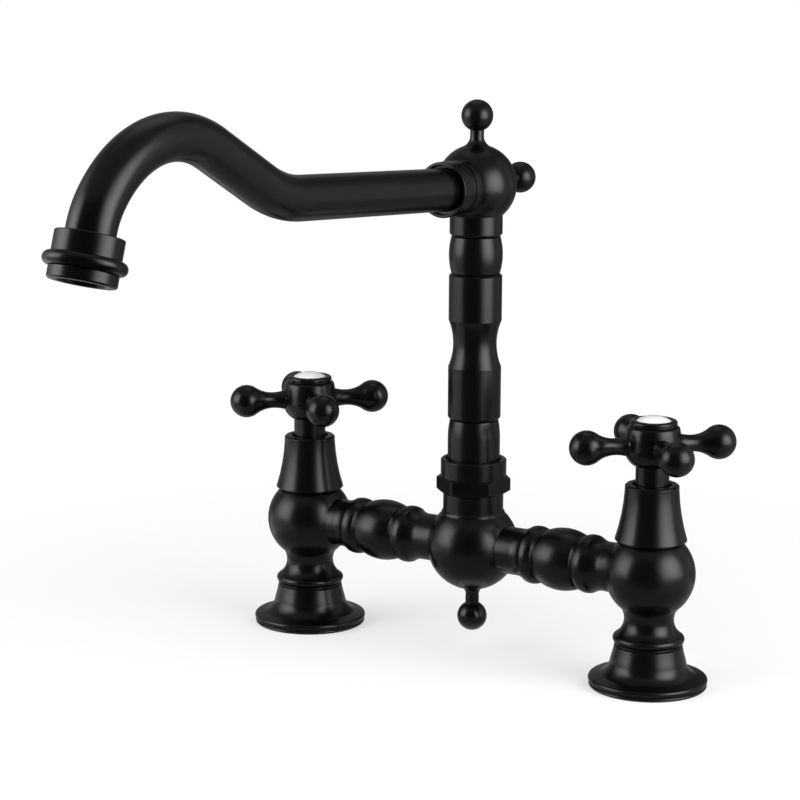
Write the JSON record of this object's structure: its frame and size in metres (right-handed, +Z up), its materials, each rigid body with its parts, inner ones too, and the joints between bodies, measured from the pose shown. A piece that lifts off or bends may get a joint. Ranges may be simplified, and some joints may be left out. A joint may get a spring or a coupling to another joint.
{
  "type": "bridge kitchen faucet",
  "caption": "Deck-mounted bridge kitchen faucet: cross-handle valve posts joined by turned arms to a swivelling column with a swan-neck spout.",
  "frame": {"origin": "on the worktop plane, midway between the axes of the inlets", "axes": "+X from the hot post to the cold post, -Y forward along the spout at rest, +Z up"},
  "size_m": [0.2694, 0.3628, 0.2911],
  "materials": {
    "black_coating": "satin",
    "white_porcelain": "gloss",
    "brass": "satin",
    "seal_rubber": "matte",
    "disc_ceramic": "satin",
    "steel": "satin",
    "bearing_plastic": "matte",
    "mesh_plastic": "matte"
  },
  "bodies": {
    "bridge": {"hot_flange": "black_coating", "hot_flange_gasket": "seal_rubber", "hot_valve_body": "black_coating", "hot_bonnet": "black_coating", "hot_cartridge_body": "brass", "hot_cartridge_o_ring": "seal_rubber", "hot_seat_seal": "seal_rubber", "hot_fixed_disc": "disc_ceramic", "hot_bridge_arm": "black_coating", "hot_arm_o_rings": "seal_rubber", "cold_flange": "black_coating", "cold_flange_gasket": "seal_rubber", "cold_valve_body": "black_coating", "cold_bonnet": "black_coating", "cold_cartridge_body": "brass", "cold_cartridge_o_ring": "seal_rubber", "cold_seat_seal": "seal_rubber", "cold_fixed_disc": "disc_ceramic", "cold_bridge_arm": "black_coating", "cold_arm_o_rings": "seal_rubber", "mixing_tee": "black_coating", "lower_finial": "black_coating", "union_nut": "black_coating", "swivel_bush": "bearing_plastic"},
    "spout": {"retaining_ring": "steel", "swivel_o_rings": "seal_rubber", "column_foot": "black_coating", "column": "black_coating", "column_ferrule": "black_coating", "head_body": "black_coating", "top_finial": "black_coating", "rear_finial": "black_coating", "collar_ring": "black_coating", "spout_collar": "black_coating", "spout_tube": "black_coating", "spout_olive": "brass", "spout_o_ring": "seal_rubber", "outlet_collar": "black_coating", "aerator_housing": "black_coating", "aerator_insert": "mesh_plastic", "aerator_washer": "seal_rubber"},
    "hot_handle": {"hot_moving_disc": "disc_ceramic", "hot_stem": "brass", "hot_stem_o_rings": "seal_rubber", "hot_stem_sleeve": "black_coating", "hot_handle_hub": "black_coating", "hot_handle_arms": "black_coating", "hot_handle_screw": "steel", "hot_index_bezel": "black_coating", "hot_index_button": "white_porcelain"},
    "cold_handle": {"cold_moving_disc": "disc_ceramic", "cold_stem": "brass", "cold_stem_o_rings": "seal_rubber", "cold_stem_sleeve": "black_coating", "cold_handle_hub": "black_coating", "cold_handle_arms": "black_coating", "cold_handle_screw": "steel", "cold_index_bezel": "black_coating", "cold_index_button": "white_porcelain"}
  },
  "joints": [
    {"name": "spout_swivel", "type": "hinge", "parent": "bridge", "child": "spout", "pos_m": [0, 0, 0], "axis": [0, 0, 1], "continuous": true},
    {"name": "hot_handle_turn", "type": "hinge", "parent": "bridge", "child": "hot_handle", "pos_m": [-0.1016, 0, 0], "axis": [0, 0, 1], "range_deg": [0, 90]},
    {"name": "cold_handle_turn", "type": "hinge", "parent": "bridge", "child": "cold_handle", "pos_m": [0.1016, 0, 0], "axis": [0, 0, 1], "range_deg": [-90, 0]}
  ]
}
